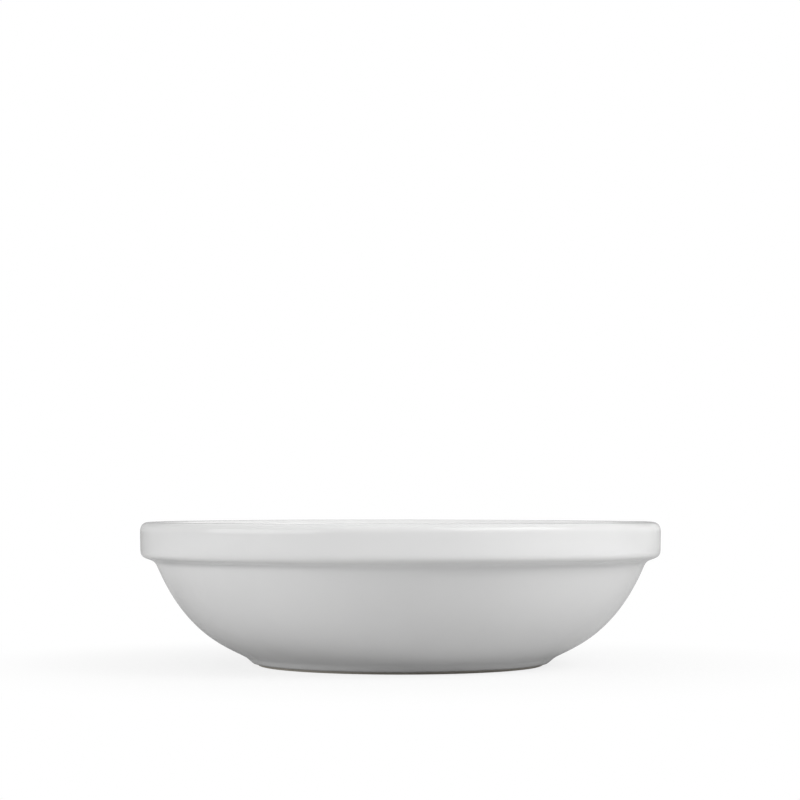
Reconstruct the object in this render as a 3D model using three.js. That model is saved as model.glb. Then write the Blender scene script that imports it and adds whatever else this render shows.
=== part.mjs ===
// A shaving bowl: a wide, shallow lather bowl of white glazed ceramic, with a deep upright rim band,
// a rounded wall and a short foot ring.
//
// The real bowl is formed as one piece of clay and glazed all over but for the ring that it stands
// on. It is three solids, each turned about Z and each lying face to face with the next:
//   clay_body        the fired clay: wall, rim band, floor and foot ring
//   glaze_coat       the glaze from the foot's outer edge up the wall, over the rim and down inside
//   foot_well_glaze  the glaze in the hollow under the floor, which the bare ring cuts off
//
// Millimetres, +Z up. The origin is the centre of the standing ring, on the plane it rests on.

import * as THREE from "three";

// Driving dimensions, all taken over the glaze.
const RIM_RADIUS = 70;
const HEIGHT = 38.5;
const GLAZE = 0.35;

// How finely the turned shapes are faceted.
const SEGMENTS = 48;
const CHORD_ERROR = 0.09;
const SHORTEST_CURVE = 0.001;

// Foot ring: a bare flat that the bowl stands on, rounded up to a short flared face.
const STANDING = { innerRadius: 35.6, outerRadius: 38.1 };
const FOOT = {
  glazeLine: [39.1, 0.3],
  roll: [
    [39.65, 0.65],
    [40.2, 1.05],
    [40.65, 1.45],
  ],
  crease: [41.5, 2.25],
  creaseRadius: 2.5,
};

// Wall: one sweep from the foot crease to the crease under the rim band.
const WALL = {
  low: [47.05, 5.15],
  high: [57.6, 8.6],
  top: [65.4, 26.7],
};

// Rim band: a shelf, an upright face with a little draft, and a rounded top.
const BAND = {
  crease: [65.93, 27.85],
  creaseRadius: 2.2,
  lowerCorner: [RIM_RADIUS - 0.16, 29.16],
  lowerRadius: 1.9,
  topCorner: [RIM_RADIUS, HEIGHT],
  topRadius: 2.0,
  innerCorner: [66.1, HEIGHT],
  innerRadius: 1.5,
};

// Inside: one sweep from the rim to a nearly flat floor, keeping a wall of about 4 mm.
const INSIDE = {
  high: [62.1, 26.6],
  low: [52.0, 5.9],
  floorEdge: [35.3, 5.9],
  floorBend: [14, 5.6],
  floorCentre: [0, 5.6],
};

// Hollow under the floor, inside the foot ring.
const WELL = {
  centre: [0, 2.4],
  bend: [16, 2.4],
  edge: [31.2, 2.14],
  corner: [33.2, 2.1],
  cornerRadius: 1.2,
  glazeLine: [34.75, 0.3],
};

/** Adds a straight run towards a corner and an arc that rounds it off, heading for `towards`. */
function roundCorner(path, corner, towards, radius) {
  const at = new THREE.Vector2(...corner);
  const back = path.currentPoint.clone().sub(at).normalize();
  const ahead = new THREE.Vector2(...towards).sub(at).normalize();
  const half = back.angleTo(ahead) / 2;
  const run = radius / Math.tan(half);
  const start = at.clone().addScaledVector(back, run);
  const end = at.clone().addScaledVector(ahead, run);
  const middle = back.clone().add(ahead).normalize();
  const centre = at.clone().addScaledVector(middle, radius / Math.sin(half));
  const clockwise = back.cross(ahead) > 0;
  path.lineTo(start.x, start.y);
  path.absarc(
    centre.x,
    centre.y,
    radius,
    start.clone().sub(centre).angle(),
    end.clone().sub(centre).angle(),
    clockwise,
  );
}

/** The angle that a curve's tangent turns through, in radians. */
function turnOf(curve) {
  return curve.getTangent(0).angleTo(curve.getTangent(1));
}

/**
 * Points along a smooth path, close enough to keep to CHORD_ERROR, each with the direction that
 * lies a quarter turn to the left of travel, which is into the clay. The empty joining lines that
 * an arc leaves where it meets the run before it are passed over.
 */
function sample(path) {
  const stations = [];
  for (const curve of path.curves) {
    if (curve.getLength() < SHORTEST_CURVE) continue;
    const bulge = (curve.getLength() * turnOf(curve)) / 8;
    const steps = Math.max(1, Math.ceil(Math.sqrt(bulge / CHORD_ERROR)));
    for (let i = stations.length ? 1 : 0; i <= steps; i++) {
      const tangent = curve.getTangent(i / steps);
      stations.push({
        point: curve.getPoint(i / steps),
        inward: new THREE.Vector2(-tangent.y, tangent.x),
      });
    }
  }
  return stations;
}

/** The points of a sampled surface. */
function pointsOf(stations) {
  return stations.map(({ point }) => point);
}

/** The points a glaze thickness under a sampled surface, where the clay begins. */
function underGlaze(stations) {
  return stations.map(({ point, inward }) => {
    const under = point.clone().addScaledVector(inward, GLAZE);
    return point.x === 0 ? under.setX(0) : under;
  });
}

/** The glazed surface from the foot's outer glaze line, over the rim, to the middle of the floor. */
function coatPath() {
  const path = new THREE.Path().moveTo(...FOOT.glazeLine);
  path.bezierCurveTo(...FOOT.roll.flat());
  roundCorner(path, FOOT.crease, WALL.low, FOOT.creaseRadius);
  path.bezierCurveTo(...WALL.low, ...WALL.high, ...WALL.top);
  roundCorner(path, BAND.crease, BAND.lowerCorner, BAND.creaseRadius);
  roundCorner(path, BAND.lowerCorner, BAND.topCorner, BAND.lowerRadius);
  roundCorner(path, BAND.topCorner, BAND.innerCorner, BAND.topRadius);
  roundCorner(path, BAND.innerCorner, INSIDE.high, BAND.innerRadius);
  path.bezierCurveTo(...INSIDE.high, ...INSIDE.low, ...INSIDE.floorEdge);
  path.quadraticCurveTo(...INSIDE.floorBend, ...INSIDE.floorCentre);
  return path;
}

/** The glazed surface of the foot's hollow, from the middle of the underside to its glaze line. */
function wellPath() {
  const path = new THREE.Path().moveTo(...WELL.centre);
  path.quadraticCurveTo(...WELL.bend, ...WELL.edge);
  roundCorner(path, WELL.corner, WELL.glazeLine, WELL.cornerRadius);
  path.lineTo(...WELL.glazeLine);
  return path;
}

/** A solid turned about Z from a profile of (radius, height) points that starts and ends on it. */
function turned(name, profile, material) {
  const geometry = new THREE.LatheGeometry(profile, SEGMENTS);
  geometry.rotateX(Math.PI / 2);
  const mesh = new THREE.Mesh(geometry, material);
  mesh.name = name;
  return mesh;
}

const bareClay = new THREE.MeshStandardMaterial({
  color: 0xd9d4c8,
  roughness: 0.75,
  metalness: 0,
});
const whiteGlaze = new THREE.MeshStandardMaterial({
  color: 0xefefed,
  roughness: 0.12,
  metalness: 0,
});

// Each profile leaves the axis under the floor, goes out, and comes back to the axis above it.
const well = sample(wellPath());
const coat = sample(coatPath());
const clayOverWell = underGlaze(well);
const clayUnderCoat = underGlaze(coat);

const clayProfile = [
  ...clayOverWell,
  new THREE.Vector2(STANDING.innerRadius, 0),
  new THREE.Vector2(STANDING.outerRadius, 0),
  ...clayUnderCoat,
];
const coatProfile = [...clayUnderCoat.toReversed(), ...pointsOf(coat)];
const wellProfile = [...pointsOf(well), ...clayOverWell.toReversed()];

const bowl = new THREE.Group();
bowl.add(
  turned("clay_body", clayProfile, bareClay),
  turned("glaze_coat", coatProfile, whiteGlaze),
  turned("foot_well_glaze", wellProfile, whiteGlaze),
);

export default bowl;
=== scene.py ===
"""A shaving bowl: a wide, shallow lather bowl of white glazed ceramic.

The bowl is turned, so each of its pieces is an outline of radius and height that is carried round
the vertical axis. There are three pieces: the fired clay, the glaze that coats it from the foot's
outer edge over the rim and down to the floor, and the glaze in the hollow under the floor. The
ring that the bowl stands on is bare clay.

Outlines are worked out in millimetres. Meshes, lights and the camera are in metres.
"""

from __future__ import annotations

import logging
import math
from dataclasses import dataclass
from enum import Enum
from typing import Any, Callable, Union

import bpy
import numpy as np
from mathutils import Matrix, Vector

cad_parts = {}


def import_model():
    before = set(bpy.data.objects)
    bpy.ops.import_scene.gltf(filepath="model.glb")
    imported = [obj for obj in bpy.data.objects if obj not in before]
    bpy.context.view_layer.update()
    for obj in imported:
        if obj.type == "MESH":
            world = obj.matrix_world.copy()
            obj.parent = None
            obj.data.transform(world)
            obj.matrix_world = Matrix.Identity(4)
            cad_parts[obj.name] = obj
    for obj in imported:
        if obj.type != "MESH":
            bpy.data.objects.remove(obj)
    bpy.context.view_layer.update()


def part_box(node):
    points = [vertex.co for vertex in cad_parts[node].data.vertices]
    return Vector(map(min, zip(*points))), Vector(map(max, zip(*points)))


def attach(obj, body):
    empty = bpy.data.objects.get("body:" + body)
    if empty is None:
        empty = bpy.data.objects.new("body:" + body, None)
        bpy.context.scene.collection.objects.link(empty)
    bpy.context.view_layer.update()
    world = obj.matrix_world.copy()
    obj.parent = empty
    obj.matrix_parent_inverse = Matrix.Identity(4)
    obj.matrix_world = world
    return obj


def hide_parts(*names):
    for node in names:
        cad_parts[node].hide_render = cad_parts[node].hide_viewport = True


LOG = logging.getLogger("shaving_bowl")

Array = np.ndarray
Point = tuple[float, float]
Colour = tuple[float, float, float]

MM = 0.001
TURN = 2.0 * math.pi
BODY = "root"


class Slot(Enum):
    """The record's material slots."""

    BARE_CLAY = "bare_clay"
    WHITE_GLAZE = "white_glaze"


class CadNode(Enum):
    """The CAD nodes that the finished pieces stand for."""

    CLAY_BODY = "clay_body"
    GLAZE_COAT = "glaze_coat"
    FOOT_WELL_GLAZE = "foot_well_glaze"


def linked(thing: bpy.types.Object) -> bpy.types.Object:
    """Puts an object in the scene, and gives it back."""
    bpy.context.scene.collection.objects.link(thing)
    return thing


# ---- Outlines ----


class Outline:
    """A line of straight runs, rounded corners and sweeps in the plane of radius and height."""

    def __init__(self, start: Point) -> None:
        """Starts the outline at a point, as radius and height in millimetres."""
        self._runs: list[Array] = [np.array([start], dtype=float)]

    @property
    def end(self) -> Array:
        """The last point so far."""
        return self._runs[-1][-1]

    def line_to(self, point: Point) -> None:
        """Adds a straight run to a point."""
        self._runs.append(np.array([point], dtype=float))

    def sweep_to(self, first: Point, second: Point, end: Point, steps: int = 600) -> None:
        """Adds a cubic Bezier curve, whose point at t weighs its four control points by
        (1-t)^3, 3t(1-t)^2, 3t^2(1-t) and t^3.

        Args:
            first: The control point that the curve leaves towards.
            second: The control point that the curve arrives from.
            end: The curve's last point.
            steps: How many short chords stand for the curve.
        """
        t = np.linspace(0.0, 1.0, steps + 1)[1:, None]
        corners = [self.end, *(np.array(p, dtype=float) for p in (first, second, end))]
        weights = [(1 - t) ** 3, 3 * t * (1 - t) ** 2, 3 * t**2 * (1 - t), t**3]
        self._runs.append(sum(w * p for w, p in zip(weights, corners)))

    def round_corner(self, corner: Point, towards: Point, radius: float, steps: int = 60) -> None:
        """Adds a straight run towards a corner and the arc that rounds it off.

        The arc touches both sides at radius / tan(half) from the corner, and its centre lies on
        the line that halves the corner, at radius / sin(half).

        Args:
            corner: Where the two sides would meet.
            towards: A point on the side that the outline leaves along.
            radius: The arc's radius in millimetres.
            steps: How many short chords stand for the arc.
        """
        at = np.array(corner, dtype=float)
        back, ahead = unit(self.end - at), unit(np.array(towards, dtype=float) - at)
        half = 0.5 * math.acos(float(np.clip(back @ ahead, -1.0, 1.0)))
        centre = at + unit(back + ahead) * radius / math.sin(half)
        spokes = [at + side * radius / math.tan(half) - centre for side in (back, ahead)]
        first, last = (math.atan2(spoke[1], spoke[0]) for spoke in spokes)
        sweep = (last - first + math.pi) % TURN - math.pi
        angles = first + sweep * np.linspace(0.0, 1.0, steps + 1)
        arc = centre + radius * np.stack([np.cos(angles), np.sin(angles)], axis=1)
        self._runs.append(arc)

    def points(self) -> Array:
        """All the points so far, one row each."""
        return np.concatenate(self._runs)


def unit(vector: Array) -> Array:
    """The vector at length one."""
    return vector / np.linalg.norm(vector)


def soften(values: Array, reach: float, step: float) -> Array:
    """Averages evenly spaced values under a bell curve.

    Args:
        values: The values, one for each step along a line.
        reach: The bell curve's standard deviation.
        step: The distance from one value to the next.

    Returns:
        As many values, each the weighted mean of those about it. Past each end the line goes on
        as its own image turned half round, so that the end stays where it is.
    """
    half = int(math.ceil(3.0 * reach / step))
    offsets = np.arange(-half, half + 1) * step
    bell = np.exp(-0.5 * (offsets / reach) ** 2)
    padded = np.pad(values, half, mode="reflect", reflect_type="odd")
    return np.convolve(padded, bell / bell.sum(), mode="valid")


@dataclass(frozen=True)
class Skin:
    """An outline seen as a surface, with its clay on the left of travel.

    Attributes:
        run: Distance along the outline of each sample, in millimetres.
        points: Radius and height of each sample.
        normals: Unit vectors out of the clay.
        bend: Curvature, in radians a millimetre, positive in a hollow and negative on an edge.
        STEP: The distance between samples, in millimetres.
        BEND_REACH: How far the bend is averaged over, in millimetres.
    """

    run: Array
    points: Array
    normals: Array
    bend: Array

    STEP = 0.05
    BEND_REACH = 0.35

    @classmethod
    def along(cls, outline: Outline, flow: float = 0.0) -> Skin:
        """Samples an outline at even steps.

        Args:
            outline: The outline, with the clay on the left of travel.
            flow: How far molten glaze evens out the outline's bends, in millimetres.

        Returns:
            The sampled surface. Normals are the tangent turned a quarter turn to the right, and
            the bend is how fast the tangent's angle falls along the run.
        """
        corners = outline.points()
        lengths = np.hypot(*np.diff(corners, axis=0).T)
        keep = np.concatenate([[True], lengths > 1e-9])
        corners = corners[keep]
        distance = np.concatenate([[0.0], np.cumsum(lengths[keep[1:]])])
        run = np.linspace(0.0, distance[-1], int(math.ceil(distance[-1] / cls.STEP)) + 1)
        points = np.stack([np.interp(run, distance, corners[:, i]) for i in range(2)], axis=1)
        if flow:
            points = np.stack([soften(points[:, i], flow, run[1]) for i in range(2)], axis=1)
        tangent = np.gradient(points, run, axis=0)
        tangent /= np.linalg.norm(tangent, axis=1, keepdims=True)
        heading = np.unwrap(np.arctan2(tangent[:, 1], tangent[:, 0]))
        bend = soften(-np.gradient(heading, run), cls.BEND_REACH, run[1])
        normals = np.stack([tangent[:, 1], -tangent[:, 0]], axis=1)
        return cls(run, points, normals, bend)

    def under(self, depth: float) -> Skin:
        """The surface that lies at an even depth in the clay.

        Args:
            depth: The depth in millimetres.

        Returns:
            The lower surface. It keeps this surface's runs, and stays on the axis where this one
            meets it.
        """
        points = self.points - depth * self.normals
        points[:, 0] = np.where(self.points[:, 0] < 1e-6, 0.0, points[:, 0])
        return Skin(self.run, points, self.normals, self.bend)

    def stations(self, straight: float, turn: float) -> Array:
        """Distances along the outline that lie closer together where it bends.

        Args:
            straight: The longest step, in millimetres.
            turn: The most that the surface may turn in a step, in radians.

        Returns:
            The distances, from the outline's first point to its last.
        """
        density = 1.0 / straight + np.abs(self.bend) / turn
        steps = 0.5 * (density[1:] + density[:-1]) * np.diff(self.run)
        measure = np.concatenate([[0.0], np.cumsum(steps)])
        count = int(math.ceil(measure[-1]))
        return np.interp(np.linspace(0.0, measure[-1], count + 1), measure, self.run)

    def at(self, run: Array) -> tuple[Array, Array]:
        """Points and normals at any distances along the outline.

        Args:
            run: The distances, in an array of any shape.

        Returns:
            The points and the normals, each with one axis more than run.
        """
        both = np.concatenate([self.points, self.normals], axis=1)
        found = np.stack([np.interp(run, self.run, both[:, i]) for i in range(4)], axis=-1)
        return found[..., :2], found[..., 2:]


# ---- Turned surfaces ----


def smooth(value: Array) -> Array:
    """Rises from 0 to 1 along 3v^2 - 2v^3, and is level on both sides of that."""
    v = np.clip(value, 0.0, 1.0)
    return v * v * (3.0 - 2.0 * v)


def turned(angle: Array, points: Array) -> Array:
    """Turns points about the axis.

    Args:
        angle: Angles of the columns, in radians.
        points: Radius and height, as rings by columns by two. One column stands for them all.

    Returns:
        X, Y and Z: radius times the angle's cosine, radius times its sine, and the height.
    """
    radius, height = points[..., 0], points[..., 1]
    across = radius * np.cos(angle), radius * np.sin(angle)
    return np.stack([*across, np.broadcast_to(height, across[0].shape)], axis=-1)


@dataclass(frozen=True)
class Waves:
    """Random waves through space, which a surface takes its height from.

    The height is a sum of cosines of plane waves. Each has a direction, a wavelength and a phase
    of its own, so the sum has no seam and no pole.

    Attributes:
        amplitude: Root mean square height in millimetres.
        shortest: The shortest wavelength in millimetres.
        longest: The longest wavelength in millimetres.
        count: How many plane waves are summed.
        seed: Starts the random draws.
    """

    amplitude: float
    shortest: float
    longest: float
    count: int
    seed: int

    def height(self, places: Array) -> Array:
        """The waves' height at any points.

        Args:
            places: X, Y and Z in millimetres, on the last axis.

        Returns:
            Heights in millimetres, with that axis gone.
        """
        random = np.random.default_rng(self.seed)
        directions = random.normal(size=(self.count, 3))
        directions /= np.linalg.norm(directions, axis=1, keepdims=True)
        lengths = random.uniform(self.shortest, self.longest, self.count)
        phases = random.uniform(0.0, TURN, self.count)
        turns = places @ (directions * TURN / lengths[:, None]).T + phases
        return self.amplitude * math.sqrt(2.0 / self.count) * np.cos(turns).sum(axis=-1)


@dataclass(frozen=True)
class KilnShape:
    """How firing leaves the bowl a little out of true: two slow waves round it that grow upwards.

    Attributes:
        height: The bowl's height, where both waves are full, in millimetres.
        oval: How far the rim is out of round, in millimetres.
        warp: How far the rim is out of level, in millimetres.
        oval_turn: The angle at which the rim is widest, in radians.
        warp_turn: The angle at which the rim is highest, in radians.
    """

    height: float
    oval: float = 0.05
    warp: float = 0.04
    oval_turn: float = 0.7
    warp_turn: float = 2.1

    def applied(self, angle: Array, points: Array) -> Array:
        """Moves points of a true bowl to where firing leaves them.

        Args:
            angle: Angles of the columns, in radians.
            points: Radius and height, as rings by columns by two.

        Returns:
            The moved points. Both waves go as cos 2a, and fade to nothing on the axis.
        """
        radius, height = points[..., 0], points[..., 1]
        grown = smooth(height / self.height) * smooth(radius / self.height)
        oval = self.oval * np.cos(2.0 * (angle - self.oval_turn))
        warp = self.warp * np.cos(2.0 * (angle - self.warp_turn))
        return np.stack([radius + oval * grown, height + warp * grown], axis=-1)


@dataclass
class TurnedSurface:
    """Rings of points about the axis that run from one pole to the other.

    Attributes:
        angle: Angles of the columns, in radians.
        points: Radius and height in millimetres, as rings by columns by two.
        poles: Heights of the first and last points, which are on the axis.
        marks: Named values over the same grid, which materials read as attributes.
    """

    angle: Array
    points: Array
    poles: Point
    marks: dict[str, Array]

    def vertices(self) -> Array:
        """Puts the first pole, the rings in order and the last pole in one list.

        Returns:
            X, Y and Z of each vertex, in metres.
        """
        grid = turned(self.angle, self.points).reshape(-1, 3)
        first, last = ([[0.0, 0.0, z]] for z in self.poles)
        return np.concatenate([first, grid, last]) * MM

    def faces(self) -> list[list[int]]:
        """Joins neighbouring rings with quads, and each pole to its ring with a fan of triangles.

        Returns:
            The vertices of each face. Faces point outwards when the rings leave the axis below and
            come back to it above.
        """
        rings, columns = self.points.shape[:2]
        index = 1 + np.arange(rings * columns).reshape(rings, columns)
        after = np.roll(index, -1, axis=1)
        quads = np.stack([index[:-1], after[:-1], after[1:], index[1:]], axis=-1).reshape(-1, 4)
        low, high = np.zeros(columns, int), np.full(columns, 1 + rings * columns)
        fans = np.stack([[low, high], [after[0], index[-1]], [index[0], after[-1]]], axis=-1)
        return quads.tolist() + fans.reshape(-1, 3).tolist()

    def build(self, name: str) -> bpy.types.Object:
        """Makes the mesh object.

        Args:
            name: The piece's name.

        Returns:
            The object, at the origin, smooth shaded, with its marks as point attributes.
        """
        mesh = bpy.data.meshes.new(name)
        mesh.from_pydata(self.vertices(), [], self.faces())
        mesh.polygons.foreach_set("use_smooth", np.ones(len(mesh.polygons), bool))
        for mark, values in self.marks.items():
            ends = values[0].mean(), values[-1].mean()
            column = np.concatenate([[ends[0]], values.ravel(), [ends[1]]])
            attribute = mesh.attributes.new(mark, "FLOAT", "POINT")
            attribute.data.foreach_set("value", column.astype(np.float32))
        mesh.update()
        return linked(bpy.data.objects.new(name, mesh))


# ---- Shader expressions ----


class Term:
    """A number in a node tree that takes part in Python expressions by adding Math nodes."""

    def __init__(self, graph: Graph, socket: bpy.types.NodeSocket) -> None:
        """Wraps an output socket of a node in the graph."""
        self.graph = graph
        self.socket = socket

    def __add__(self, other: Value) -> Term:
        """This plus other."""
        return self.graph.math("ADD", self, other)

    def __sub__(self, other: Value) -> Term:
        """This minus other."""
        return self.graph.math("SUBTRACT", self, other)

    def __rsub__(self, other: Value) -> Term:
        """Other minus this."""
        return self.graph.math("SUBTRACT", other, self)

    def __mul__(self, other: Value) -> Term:
        """This times other."""
        return self.graph.math("MULTIPLY", self, other)

    def __pow__(self, other: Value) -> Term:
        """This to the power of other."""
        return self.graph.math("POWER", self, other)

    def __neg__(self) -> Term:
        """Minus this."""
        return self.graph.math("MULTIPLY", self, -1.0)

    __radd__ = __add__
    __rmul__ = __mul__

    def fade(self, low: float, high: float) -> Term:
        """Rises or falls smoothly, and is level on both sides of that.

        Args:
            low: What this is where the result is 0.
            high: What this is where the result is 1, which may be less than low.

        Returns:
            The result.
        """
        if low > high:
            return 1.0 - self.fade(high, low)
        inputs = {"Value": self, "From Min": low, "From Max": high}
        made = self.graph.node("ShaderNodeMapRange", {"interpolation_type": "SMOOTHSTEP"}, inputs)
        return Term(self.graph, made.outputs["Result"])


Value = Union[Term, float]
Link = Union[Term, bpy.types.NodeSocket]


@dataclass(frozen=True)
class Pattern:
    """Smooth random values over a piece, which may be a relief in its surface.

    Attributes:
        size: The size of a patch, in millimetres.
        detail: How many finer octaves are added.
        rough: How strong each finer octave is.
        depth: The relief's height, in millimetres.
    """

    size: float
    detail: float = 2.0
    rough: float = 0.5
    depth: float = 0.0


@dataclass(frozen=True)
class Blend:
    """How much of a colour a pattern's values let through.

    Attributes:
        low: The value at which the colour starts to show.
        high: The value at which it shows most.
        most: The share of it that shows there.
    """

    low: float
    high: float
    most: float = 1.0

    def share(self, values: Term) -> Term:
        """The share of the colour that shows."""
        return values.fade(self.low, self.high) * self.most


class Graph:
    """A material's or world's node tree, built one node at a time."""

    def __init__(self, owner: bpy.types.Material | bpy.types.World) -> None:
        """Gives a material or a world an empty node tree.

        Args:
            owner: The material or the world.
        """
        owner.use_nodes = True
        self.tree = owner.node_tree
        self.tree.nodes.clear()

    def node(
        self, kind: str, settings: dict[str, Any] | None = None, inputs: dict[Any, Any] | None = None
    ) -> bpy.types.Node:
        """Adds any node.

        Args:
            kind: The node's type, such as ShaderNodeBump.
            settings: Its properties, which are set first.
            inputs: Values or links, by the socket's name or number.

        Returns:
            The node.
        """
        made = self.tree.nodes.new(kind)
        for name, value in (settings or {}).items():
            setattr(made, name, value)
        for name, value in (inputs or {}).items():
            socket = made.inputs[name]
            value = value.socket if isinstance(value, Term) else value
            if isinstance(value, bpy.types.NodeSocket):
                self.tree.links.new(value, socket)
            elif isinstance(value, tuple) and socket.type == "RGBA":
                socket.default_value = (*value, 1.0)
            else:
                socket.default_value = value
        return made

    def math(self, operation: str, first: Value, second: Value) -> Term:
        """The result of a Math node."""
        made = self.node("ShaderNodeMath", {"operation": operation}, {0: first, 1: second})
        return Term(self, made.outputs[0])

    def mix(self, amount: Value, first: Colour | Link, second: Colour | Link) -> bpy.types.NodeSocket:
        """Mixes two colours, where an amount of 0 gives the first and 1 the second."""
        made = self.node("ShaderNodeMix", {"data_type": "RGBA"}, {0: amount, 6: first, 7: second})
        return made.outputs[2]

    def place(self) -> bpy.types.NodeSocket:
        """The point on the piece, in metres."""
        return self.node("ShaderNodeTexCoord").outputs["Object"]

    def noise(self, vector: Link, pattern: Pattern) -> Term:
        """Smooth random values about 0.5.

        Args:
            vector: Where to look the value up, in metres.
            pattern: What the values are like.

        Returns:
            The value.
        """
        scale = 1.0 / (pattern.size * MM)
        fineness = {"Scale": scale, "Detail": pattern.detail, "Roughness": pattern.rough}
        made = self.node("ShaderNodeTexNoise", {}, {"Vector": vector, **fineness})
        return Term(self, made.outputs["Fac"])

    def parts(self, vector: Link) -> tuple[Term, Term, Term]:
        """A vector's X, Y and Z."""
        made = self.node("ShaderNodeSeparateXYZ", {}, {0: vector})
        return tuple(Term(self, socket) for socket in made.outputs)

    def bump(self, height: Term, depth: float, after: Link | None = None) -> bpy.types.NodeSocket:
        """Tilts the surface's normal by a height.

        Args:
            height: The height, where 1 is as high as depth.
            depth: In millimetres.
            after: A normal that another bump has already tilted.

        Returns:
            The tilted normal.
        """
        inputs: dict[str, Any] = {"Height": height, "Distance": depth * MM, "Strength": 1.0}
        if after is not None:
            inputs["Normal"] = after
        return self.node("ShaderNodeBump", {}, inputs).outputs["Normal"]

    def surface(self, shader: bpy.types.Node, kind: str = "ShaderNodeOutputMaterial") -> None:
        """Makes a shader node the tree's result."""
        self.node(kind, {}, {"Surface": shader.outputs[0]})


def new_material(name: str) -> tuple[bpy.types.Material, Graph]:
    """Makes an empty material, and the graph that its nodes go in."""
    material = bpy.data.materials.new(name)
    return material, Graph(material)


# ---- Finishes ----

# Bend of the glaze surface, kept as an attribute: it places painted shade in hollows and creases and
# a painted highlight over edges.
BEND_SHADING = "bend_shading"


@dataclass(frozen=True)
class WhiteGlaze:
    """A glossy white glaze over a pale clay.

    It is milky. Its colour has painted shade in the hollows and creases, a darker and slightly
    cooler grey, and a painted highlight over the edges, a touch lighter and warmer. It has a faint
    orange peel, a few closed pinholes and the ghost of turning marks.

    Attributes:
        even: The colour over most of the surface.
        hollow_shade: Painted shade, a darker and slightly cooler grey in the hollows and creases.
        edge_highlight: Painted highlight, a touch lighter and warmer colour over the edges.
        fleck: The colour of the specks in the glaze.
        bend_shading: Turns the bend in a hollow into the painted shade.
        edge_lightening: Turns the bend on an edge into the painted highlight.
        clouding: Turns the clouds into the painted shade's darker grey.
        clouds: Darker clouds in the glaze.
        peel: The orange peel.
        rings: The turning marks.
        ring_stretch: Multiplies X, Y and Z, which draws the marks out round the bowl.
        patches: Where the surface is more or less glossy.
        roughness: The surface's mean roughness.
        roughness_spread: How far the patches change it.
        fleck_spacing: The cells that may each have a speck, in millimetres.
        fleck_edge: Where a speck is gone and where it is full, in cell sizes from its middle.
        fleck_odds: The random numbers where a cell starts to have a speck and where it has one.
        fleck_colour: The most that a speck's colour shows.
        pinhole_depth: Depth of the closed pinhole at a speck, in millimetres.
        ior: The index of refraction.
        coat: The weight of a clear coat that sharpens the highlights.
        coat_roughness: Its roughness.
    """

    even: Colour = (0.848, 0.848, 0.846)
    hollow_shade: Colour = (0.80, 0.802, 0.802)
    edge_highlight: Colour = (0.858, 0.855, 0.849)
    fleck: Colour = (0.42, 0.40, 0.37)
    bend_shading: Blend = Blend(0.05, 0.75)
    edge_lightening: Blend = Blend(0.2, 1.0)
    clouding: Blend = Blend(0.35, 0.75, most=0.35)
    clouds: Pattern = Pattern(26.0, detail=3.0)
    peel: Pattern = Pattern(2.4, detail=1.0, depth=0.0012)
    rings: Pattern = Pattern(2.6, depth=0.0012)
    ring_stretch: tuple[float, float, float] = (0.12, 0.12, 1.0)
    patches: Pattern = Pattern(7.0, detail=3.0)
    roughness: float = 0.14
    roughness_spread: float = 0.07
    fleck_spacing: float = 6.0
    fleck_edge: Point = (0.035, 0.012)
    fleck_odds: Point = (0.93, 0.95)
    fleck_colour: float = 0.45
    pinhole_depth: float = 0.03
    ior: float = 1.5
    coat: float = 0.25
    coat_roughness: float = 0.05

    def material(self) -> bpy.types.Material:
        """Builds the glaze's material.

        Returns:
            The material.
        """
        material, g = new_material("white_glaze")
        place = g.place()
        # The bend shading: positive in hollows and creases, negative on edges.
        hollow_shade = Term(g, g.node("ShaderNodeAttribute", {"attribute_name": BEND_SHADING}).outputs["Fac"])
        clouds = g.noise(place, self.clouds)
        flecks, pinholes = self._flecks(g, place)
        # Painted shade: a darker, slightly cooler grey in the hollows and creases.
        colour = g.mix(self.bend_shading.share(hollow_shade), self.even, self.hollow_shade)
        # Painted highlight: a touch lighter and warmer over the edges.
        colour = g.mix(self.edge_lightening.share(-hollow_shade), colour, self.edge_highlight)
        colour = g.mix(self.clouding.share(clouds), colour, self.hollow_shade)
        colour = g.mix(flecks, colour, self.fleck)
        stretch = {0: place, 1: self.ring_stretch}
        drawn_out = g.node("ShaderNodeVectorMath", {"operation": "MULTIPLY"}, stretch)
        rings = g.noise(drawn_out.outputs[0], self.rings)
        tilted = g.bump(rings, self.rings.depth)
        tilted = g.bump(g.noise(place, self.peel), self.peel.depth, after=tilted)
        tilted = g.bump(-pinholes, self.pinhole_depth, after=tilted)
        patches = g.noise(place, self.patches) - 0.5
        inputs = {
            "Base Color": colour,
            "Roughness": self.roughness + patches * self.roughness_spread,
            "IOR": self.ior,
            "Normal": tilted,
            "Coat Weight": self.coat,
            "Coat Roughness": self.coat_roughness,
            "Coat IOR": self.ior,
        }
        g.surface(g.node("ShaderNodeBsdfPrincipled", {}, inputs))
        return material

    def _flecks(self, g: Graph, place: bpy.types.NodeSocket) -> tuple[Term, Term]:
        """Rare pinpoint specks: a cell has one only if its random number is near the top.

        Args:
            g: The node tree.
            place: The point on the piece.

        Returns:
            How much of a speck's colour shows, and how deep its pinhole is, both from 0 to 1.
        """
        inputs = {"Vector": place, "Scale": 1.0 / (self.fleck_spacing * MM)}
        cells = g.node("ShaderNodeTexVoronoi", {}, inputs)
        red, green, _ = g.parts(cells.outputs["Color"])
        away = Term(g, cells.outputs["Distance"])
        spot = away.fade(*self.fleck_edge) * red.fade(*self.fleck_odds)
        return spot * green * self.fleck_colour, spot


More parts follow.
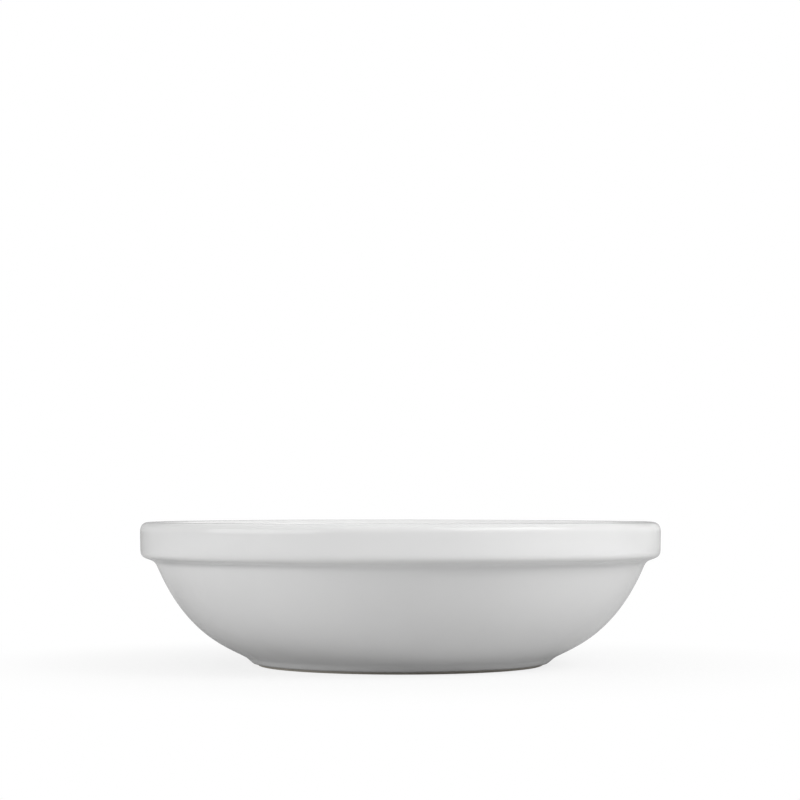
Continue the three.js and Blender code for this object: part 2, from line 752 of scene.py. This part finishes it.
@dataclass(frozen=True)
class BareClay:
    """Fired clay with no glaze, as the standing ring shows it.

    The flat is ground, so it is paler, with fine scratches round the ring, and it has picked up a
    little grey from the surfaces that it has stood on. Beside each glaze line the clay is coloured a
    little darker and warmer.

    Attributes:
        ring: The ring's inner and outer radius, where the glaze starts, in millimetres.
        fired: The colour of the clay.
        ground: The colour of the ground flat.
        grime: The colour of the marks on it.
        glaze_edge_dark: The darker, warmer colour beside the glaze.
        flat_height: The height under which the clay is ground, in millimetres.
        edge_width: How wide the darker line is, in millimetres.
        glaze_edge_darkening: The most that the darker colour shows.
        grain: The clay's grain.
        graining: Turns the grain into grime.
        stain: The marks on the flat.
        staining: Turns them into grime.
        scratch: The scratches in the flat.
        roughness: The clay's mean roughness.
        polish: How much smoother the flat is.
        roughness_spread: How far the grain changes that.
        ior: The index of refraction.
    """

    ring: Point
    fired: Colour = (0.66, 0.62, 0.55)
    ground: Colour = (0.72, 0.70, 0.65)
    grime: Colour = (0.40, 0.38, 0.35)
    glaze_edge_dark: Colour = (0.55, 0.515, 0.47)
    flat_height: float = 0.04
    edge_width: float = 0.5
    glaze_edge_darkening: float = 0.5
    grain: Pattern = Pattern(0.35, detail=4.0, rough=0.6, depth=0.02)
    graining: Blend = Blend(0.55, 0.75, most=0.25)
    stain: Pattern = Pattern(5.0, detail=4.0, rough=0.65)
    staining: Blend = Blend(0.5, 0.72, most=0.45)
    scratch: Pattern = Pattern(0.09, detail=3.0, depth=0.006)
    roughness: float = 0.78
    polish: float = 0.16
    roughness_spread: float = 0.2
    ior: float = 1.45

    def material(self) -> bpy.types.Material:
        """Builds the clay's material.

        Returns:
            The material.
        """
        material, g = new_material("bare_clay")
        place = g.place()
        x, y, z = g.parts(place)
        radius = (x * x + y * y) ** 0.5
        flat = z.fade(2.0 * self.flat_height * MM, self.flat_height * MM)
        inner, outer = (r * MM for r in self.ring)
        width = self.edge_width * MM
        # A darker, warmer line on the clay beside each glaze line.
        edge = radius.fade(inner + width, inner) + radius.fade(outer - width, outer)
        grain = g.noise(place, self.grain)
        stain = g.noise(place, self.stain)
        around = g.node("ShaderNodeCombineXYZ", {}, {0: radius, 1: z, 2: 0.0}).outputs[0]
        scratch = g.noise(around, self.scratch)
        colour = g.mix(flat, self.fired, self.ground)
        colour = g.mix(self.graining.share(grain), colour, self.grime)
        colour = g.mix(flat * self.staining.share(stain), colour, self.grime)
        colour = g.mix(edge * self.glaze_edge_darkening, colour, self.glaze_edge_dark)
        spread = (grain - 0.5) * self.roughness_spread
        tilted = g.bump(grain, self.grain.depth)
        tilted = g.bump(scratch * flat, self.scratch.depth, after=tilted)
        inputs = {
            "Base Color": colour,
            "Roughness": self.roughness - flat * self.polish + spread,
            "IOR": self.ior,
            "Normal": tilted,
        }
        g.surface(g.node("ShaderNodeBsdfPrincipled", {}, inputs))
        return material


# ---- The bowl ----


@dataclass(frozen=True)
class BowlShape:
    """The bowl's outlines over its glaze, in millimetres.

    Points are (radius, height). The driving sizes come from the frame, and the rest are measured
    from the standing plane upwards, or from the rim inwards and downwards.

    Attributes:
        rim_radius: The band's greatest radius.
        height: The whole height.
        well_radius: Where the clay starts under the foot, at the inner glaze line.
        glaze: The glaze's thickness.
        flow: How far the molten glaze evened out the bends.
    """

    rim_radius: float
    height: float
    well_radius: float
    glaze: float = 0.35
    flow: float = 0.6

    # Foot ring, from the outer glaze line to the crease.
    foot_line: Point = (39.1, 0.3)
    foot_roll: tuple[Point, Point, Point] = ((39.65, 0.65), (40.2, 1.05), (40.65, 1.45))
    foot_crease: Point = (41.5, 2.25)
    foot_crease_radius: float = 2.5
    standing_outer: float = 38.1
    standing_inner: float = 35.6

    # Wall, one sweep from the foot's crease to the crease under the band.
    wall: tuple[Point, Point, Point] = ((47.05, 5.15), (57.6, 8.6), (65.4, 26.7))

    # Rim band, as (in from the rim radius, down from the top).
    band_crease: Point = (4.07, 10.55)
    band_crease_radius: float = 2.2
    band_low: Point = (0.16, 9.22)
    band_low_radius: float = 1.7
    top_radius: float = 2.0
    lip: float = 3.9
    lip_radius: float = 1.5

    # Inside, one sweep from the lip to the floor, and the floor.
    inside: tuple[Point, Point, Point] = ((62.1, 26.6), (52.0, 5.9), (35.3, 5.9))
    floor_bends: tuple[Point, Point] = ((21.1, 5.7), (9.3, 5.6))
    floor_height: float = 5.6

    # Hollow under the floor.
    well_height: float = 2.4
    well_bends: tuple[Point, Point] = ((10.7, 2.4), (21.1, 2.31))
    well_edge: Point = (31.2, 2.14)
    well_corner: Point = (33.2, 2.1)
    well_corner_radius: float = 1.2
    well_line: Point = (34.75, 0.3)

    @classmethod
    def from_frame(cls) -> BowlShape:
        """Takes the driving sizes from the CAD nodes.

        Returns:
            The shape.
        """
        _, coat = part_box(CadNode.GLAZE_COAT.value)
        _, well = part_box(CadNode.FOOT_WELL_GLAZE.value)
        return cls(coat.x / MM, coat.z / MM, well.x / MM)

    def _from_rim(self, point: Point) -> Point:
        """A point given as the distance in from the rim and the distance down from the top."""
        return self.rim_radius - point[0], self.height - point[1]

    def coat(self) -> Skin:
        """Draws the glazed surface outside, over the rim and inside.

        Returns:
            The surface from the foot's outer glaze line to the middle of the floor.
        """
        line = Outline(self.foot_line)
        line.sweep_to(*self.foot_roll)
        line.round_corner(self.foot_crease, self.wall[0], self.foot_crease_radius)
        line.sweep_to(*self.wall)
        top, lip = self._from_rim((0.0, 0.0)), self._from_rim((self.lip, 0.0))
        crease, low = self._from_rim(self.band_crease), self._from_rim(self.band_low)
        line.round_corner(crease, low, self.band_crease_radius)
        line.round_corner(low, top, self.band_low_radius)
        line.round_corner(top, lip, self.top_radius)
        line.round_corner(lip, self.inside[0], self.lip_radius)
        line.sweep_to(*self.inside)
        line.sweep_to(*self.floor_bends, (0.0, self.floor_height))
        return Skin.along(line, self.flow)

    def well(self) -> Skin:
        """Draws the glazed surface under the floor.

        Returns:
            The surface from its middle to the inner glaze line.
        """
        line = Outline((0.0, self.well_height))
        line.sweep_to(*self.well_bends, self.well_edge)
        line.round_corner(self.well_corner, self.well_line, self.well_corner_radius)
        line.line_to(self.well_line)
        return Skin.along(line, self.flow)


@dataclass
class TurnedPiece:
    """A piece of the bowl, turned about the vertical axis.

    Attributes:
        shape: The bowl's outlines.
        kiln: How firing moved it.
        columns: How many vertices there are in a ring.
        name: What the piece is called.
        node: The CAD node that it stands for.
        slot: Its material slot, which nothing reads.
    """

    shape: BowlShape
    kiln: KilnShape
    columns: int = 240

    name = ""
    node = CadNode.CLAY_BODY
    slot = Slot.BARE_CLAY

    @property
    def angle(self) -> Array:
        """The angles of a ring's vertices."""
        return np.linspace(0.0, TURN, self.columns, endpoint=False)

    def surface(self) -> TurnedSurface:
        """Works out the piece's surface."""
        raise NotImplementedError

    def fired(self, points: Array, marks: dict[str, Array]) -> TurnedSurface:
        """Makes a surface of rings of true points.

        Args:
            points: Radius and height of every vertex, as rings by columns by two. The first and
                last rings are on the axis.
            marks: Named values of the same rings and columns.

        Returns:
            The surface as firing leaves it, with its end rings made poles.
        """
        moved = self.kiln.applied(self.angle, points[1:-1])
        poles = float(points[0, 0, 1]), float(points[-1, 0, 1])
        inner = {name: values[1:-1] for name, values in marks.items()}
        return TurnedSurface(self.angle, moved, poles, inner)

    def make(self, material: bpy.types.Material) -> bpy.types.Object:
        """Builds and dresses the piece, and puts it in the place of its CAD node.

        Args:
            material: The piece's finish.

        Returns:
            The piece.
        """
        piece = self.surface().build(self.name)
        piece.data.materials.append(material)
        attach(piece, BODY)
        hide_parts(self.node.value)
        counts = len(piece.data.vertices), len(piece.data.polygons)
        LOG.info("%s: %d vertices, %d faces", self.name, *counts)
        return piece


@dataclass
class GlazeLayer(TurnedPiece):
    """A layer of glaze that ends at a line on the clay in a low round bead.

    Attributes:
        swell: The slow waves in the poured glaze.
        ripple: The short waves in it, which break up the edges of reflections.
        line_waves: How the glaze line strays.
        bead: How far from its line the glaze takes to reach its full thickness, in millimetres.
        wander: How far the line strays, in millimetres.
        wander_reach: How far from the line its straying is felt.
        calm: How far from the line the waves take to reach their full height, in millimetres.
        shading_gain: The bend shading, for painted shade and highlight, that a bend of one radian a
            millimetre gives.
        step: The longest step between two rings, in millimetres, and its most turn, in radians.
        back_step: The same on the side that lies on the clay.
    """

    swell: Waves = Waves(amplitude=0.03, shortest=24.0, longest=60.0, count=28, seed=5)
    ripple: Waves = Waves(amplitude=0.006, shortest=8.0, longest=14.0, count=48, seed=7)
    line_waves: Waves = Waves(amplitude=1.0, shortest=8.0, longest=40.0, count=24, seed=11)
    bead: float = 0.7
    wander: float = 0.12
    wander_reach: float = 1.4
    calm: float = 3.0
    shading_gain: float = 1.3
    step: Point = (0.95, math.radians(5.0))
    back_step: Point = (2.6, math.radians(14.0))

    slot = Slot.WHITE_GLAZE

    def layer(self, skin: Skin, from_line: Callable[[Array], Array]) -> tuple[Array, Array]:
        """Works out both sides of the layer.

        Args:
            skin: The glaze's surface.
            from_line: Gives the distance to the glaze line from a run along the skin.

        Returns:
            The glaze's surface and the back that lies on the clay, each with its radius, height
            and bend shading on the last axis; the bend shading places painted shade and highlight.
            Rings follow the skin's travel. Each point moves out of the clay by the thickness, which
            rises from the line as a quarter of an ellipse.
        """
        sides = []
        for step, height in ((self.step, 1.0), (self.back_step, 0.0)):
            rings = skin.stations(*step)[:, None]
            inward = from_line(rings)
            straying = self.line_waves.height(turned(self.angle, skin.at(rings)[0]))
            stray = self.wander * (1.0 + np.tanh(straying))
            away = np.sign(from_line(rings + MM) - inward)
            run = rings + away * stray * np.exp(-inward / self.wander_reach)
            points, normals = skin.at(run)
            short = 1.0 - np.clip(inward / self.bead, 0.0, 1.0)
            thickness = height * self.shape.glaze * np.sqrt(1.0 - short**2)
            places = turned(self.angle, points)
            waves = self.swell.height(places) + self.ripple.height(places)
            lift = thickness - self.shape.glaze + height * smooth(inward / self.calm) * waves
            # The bend, which places painted shade in hollows and a painted highlight over edges.
            bend_shading = np.interp(run, skin.run, skin.bend) * self.shading_gain
            sides.append(np.dstack([points + lift[..., None] * normals, bend_shading]))
        return tuple(sides)

    def glazed(self, rings: Array) -> TurnedSurface:
        """Makes a surface of rings of radius, height and bend shading, which places painted shade and
        highlight.
        """
        return self.fired(rings[..., :2], {BEND_SHADING: rings[..., 2]})


@dataclass
class GlazeCoat(GlazeLayer):
    """The glaze over the wall, the rim band and the inside."""

    name = "glaze"
    node = CadNode.GLAZE_COAT

    def surface(self) -> TurnedSurface:
        """Goes out from the axis along the clay to the glaze line, and back over the glaze."""
        front, back = self.layer(self.shape.coat(), lambda run: run)
        return self.glazed(np.concatenate([back[:0:-1], front]))


@dataclass
class FootWellGlaze(GlazeLayer):
    """The glaze in the hollow under the floor."""

    name = "foot_well"
    node = CadNode.FOOT_WELL_GLAZE

    def surface(self) -> TurnedSurface:
        """Goes out from the axis over the glaze to its line, and back along the clay.

        Returns:
            The surface.
        """
        skin = self.shape.well()
        front, back = self.layer(skin, lambda run: skin.run[-1] - run)
        return self.glazed(np.concatenate([front, back[-2::-1]]))


@dataclass
class ClayBody(TurnedPiece):
    """The fired clay, which shows only at the ring that the bowl stands on.

    Attributes:
        edge_radii: Radii of the standing ring's inner and outer edge, in millimetres.
        straight: The longest step between rings, in millimetres.
        turn: The most that the surface turns between two rings, in radians.
        fine: The share of the longest step that is used on the standing ring.
    """

    edge_radii: Point = (0.35, 0.5)
    straight: float = 1.6
    turn: float = math.radians(8.0)
    fine: float = 0.2

    name = "clay"

    def standing_ring(self, start: Array, end: Array) -> Skin:
        """The bare surface between the two glaze lines: a flat with rounded edges.

        Args:
            start: The clay at the inner glaze line.
            end: The clay at the outer glaze line.

        Returns:
            The surface.
        """
        inner, outer = (self.shape.standing_inner, 0.0), (self.shape.standing_outer, 0.0)
        line = Outline(tuple(start))
        line.round_corner(inner, outer, self.edge_radii[0])
        line.round_corner(outer, tuple(end), self.edge_radii[1])
        line.line_to(tuple(end))
        return Skin.along(line)

    def surface(self) -> TurnedSurface:
        """Goes out from the axis under the floor, round the foot and over the rim, and back.

        Returns:
            The surface.
        """
        well = self.shape.well().under(self.shape.glaze)
        coat = self.shape.coat().under(self.shape.glaze)
        ring = self.standing_ring(well.points[-1], coat.points[0])
        sides = []
        for skin, share in ((well, 1.0), (ring, self.fine), (coat, 1.0)):
            sides.append(skin.at(skin.stations(self.straight * share, self.turn))[0])
        outline = np.concatenate([sides[0], *(side[1:] for side in sides[1:])])
        return self.fired(np.repeat(outline[:, None], self.columns, axis=1), {})


# ---- The studio ----


@dataclass(frozen=True)
class Softbox:
    """A soft rectangular light that faces the bowl.

    Attributes:
        name: What it is called.
        azimuth: Where it stands, in degrees from the camera's side, rising to the right.
        elevation: How high it stands, in degrees above the bowl.
        radiance: How bright its face is, where 1 is as bright as white paper.
        width: In metres.
        height: In metres.
        distance: In metres from the bowl.
        mirrored: Whether it is seen in the glaze, and not only felt.
    """

    name: str
    azimuth: float
    elevation: float
    radiance: float
    width: float = 0.8
    height: float = 0.8
    distance: float = 1.1
    mirrored: bool = True

    def build(self, target: Vector) -> None:
        """Adds the light, with power pi times radiance times area.

        Args:
            target: The point that it faces.
        """
        around, up = math.radians(self.azimuth), math.radians(self.elevation)
        level = math.cos(up)
        towards = Vector((math.sin(around) * level, -math.cos(around) * level, math.sin(up)))
        data = bpy.data.lights.new(self.name, "AREA")
        data.shape = "RECTANGLE"
        data.size, data.size_y = self.width, self.height
        data.energy = math.pi * self.radiance * self.width * self.height
        light = linked(bpy.data.objects.new(self.name, data))
        light.location = target + towards * self.distance
        light.rotation_euler = towards.to_track_quat("Z", "Y").to_euler()
        light.visible_camera = False
        light.visible_glossy = self.mirrored


@dataclass(frozen=True)
class Studio:
    """A white room with soft lights in it.

    The floor and the room look white to the camera. What they give the bowl is set apart from that.

    Attributes:
        lights: The softboxes.
        room: How bright the room is to everything but the camera.
        floor_shade: The share of light that the floor gives back to the bowl.
        floor_white: The floor's colour to the camera.
        floor_glow: The share of pure white in what the camera sees under the bowl.
        floor_size: How wide the floor is, in metres.
        near: How far from the bowl's axis the floor starts to turn pure white, in metres.
        far: How far from it the floor is pure white, in metres.
    """

    lights: tuple[Softbox, ...] = (
        Softbox("left_softbox", -62.0, 16.0, 1.28, width=1.1, height=0.5),
        Softbox("left_key", -69.5, 13.0, 3.12, width=0.72, height=0.45, mirrored=False),
        Softbox("right_softbox", 52.0, 40.0, 1.76, width=1.0, height=0.6),
        Softbox("right_key", 60.5, 36.0, 4.55, width=0.5, height=0.45, mirrored=False),
        Softbox("right_fill", 82.5, 15.0, 1.71, width=0.75, height=0.45, mirrored=False),
        Softbox("back_top", 180.0, 45.0, 0.54, width=1.0, height=0.6),
        Softbox("back_left", -145.0, 6.0, 0.11, width=0.8, height=0.35, distance=1.2),
        Softbox("back_right", 145.0, 6.0, 0.28, width=0.8, height=0.35, distance=1.2),
    )
    room: float = 0.39
    floor_shade: float = 0.6
    floor_white: float = 0.88
    floor_glow: float = 0.8
    floor_size: float = 60.0
    near: float = 0.045
    far: float = 0.14

    def build(self, target: Vector) -> None:
        """Builds the floor, the room and the lights.

        Args:
            target: The point that the lights face.
        """
        self._floor()
        self._room()
        for light in self.lights:
            light.build(target)
        bpy.context.scene.view_settings.view_transform = "Standard"
        LOG.info("studio: %d lights", len(self.lights))

    def _floor(self) -> None:
        """A wide plane under the bowl."""
        half = 0.5 * self.floor_size
        mesh = bpy.data.meshes.new("floor")
        square = [(-half, -half, 0.0), (half, -half, 0.0), (half, half, 0.0), (-half, half, 0.0)]
        mesh.from_pydata(square, [], [(0, 1, 2, 3)])
        floor = linked(bpy.data.objects.new("floor", mesh))
        material, g = new_material("floor")
        seen = g.node("ShaderNodeLightPath").outputs["Is Camera Ray"]
        x, y, _ = g.parts(g.place())
        away = ((x * x + y * y) ** 0.5).fade(self.near, self.far)
        away = self.floor_glow + away * (1.0 - self.floor_glow)
        greys = (self.floor_shade,) * 3, (self.floor_white,) * 3
        dim, lit = (g.node("ShaderNodeBsdfDiffuse", {}, {"Color": grey}) for grey in greys)
        pure = g.node("ShaderNodeEmission", {}, {"Color": (1.0, 1.0, 1.0), "Strength": 1.0})
        pale = self._mixed(g, away, lit, pure)
        g.surface(self._mixed(g, seen, dim, pale))
        mesh.materials.append(material)

    @staticmethod
    def _mixed(
        g: Graph, amount: Link, first: bpy.types.Node, second: bpy.types.Node
    ) -> bpy.types.Node:
        """Mixes two shader nodes, where an amount of 0 gives the first and 1 the second."""
        inputs = {0: amount, 1: first.outputs[0], 2: second.outputs[0]}
        return g.node("ShaderNodeMixShader", {}, inputs)

    def _room(self) -> None:
        """White to the camera, and dimmer to everything else."""
        world = bpy.data.worlds.new("room")
        g = Graph(world)
        seen = Term(g, g.node("ShaderNodeLightPath").outputs["Is Camera Ray"])
        strength = self.room + seen * (1.0 - self.room)
        glow = g.node("ShaderNodeBackground", {}, {"Color": (1.0, 1.0, 1.0), "Strength": strength})
        g.surface(glow, "ShaderNodeOutputWorld")
        bpy.context.scene.world = world


@dataclass(frozen=True)
class Viewpoint:
    """The camera: a long lens a little above the rim, tipped up so that the bowl sits low.

    Attributes:
        distance: From the bowl's axis, in metres.
        side: How far to the right of the bowl's axis, in metres.
        height: Above the standing plane, in metres.
        tip: How far it is tipped up, in degrees.
        lens: Focal length in millimetres.
        sensor: The sensor's width in millimetres.
        clip: The nearest and the farthest that it sees, in metres.
    """

    distance: float = 0.6493
    side: float = -0.00013
    height: float = 0.04403
    tip: float = 2.41
    lens: float = 108.0
    sensor: float = 36.0
    clip: Point = (0.01, 50.0)

    def build(self) -> None:
        """Adds the camera and makes it the scene's."""
        data = bpy.data.cameras.new("camera")
        data.lens = self.lens
        data.sensor_width = self.sensor
        data.clip_start, data.clip_end = self.clip
        camera = linked(bpy.data.objects.new("camera", data))
        camera.location = (self.side, -self.distance, self.height)
        camera.rotation_euler = (math.radians(90.0 + self.tip), 0.0, 0.0)
        bpy.context.scene.camera = camera


# ---- The scene ----


def corners(bounds: tuple[Vector, Vector]) -> list[list[float]]:
    """A box's two corners as plain lists."""
    return [[float(value) for value in corner] for corner in bounds]


def main() -> None:
    """Builds the bowl round the frame, then the studio and the camera."""
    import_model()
    Viewpoint().build()

    shape = BowlShape.from_frame()
    kiln = KilnShape(shape.height)
    glaze = WhiteGlaze().material()
    clay = BareClay(ring=(shape.well_radius, shape.foot_line[0])).material()
    ClayBody(shape, kiln).make(clay)
    GlazeCoat(shape, kiln).make(glaze)
    FootWellGlaze(shape, kiln).make(glaze)

    Studio().build(Vector((0.0, 0.0, 0.5 * shape.height * MM)))


if __name__ == "__main__":
    logging.basicConfig(level=logging.INFO, format="%(name)s: %(message)s")
    main()
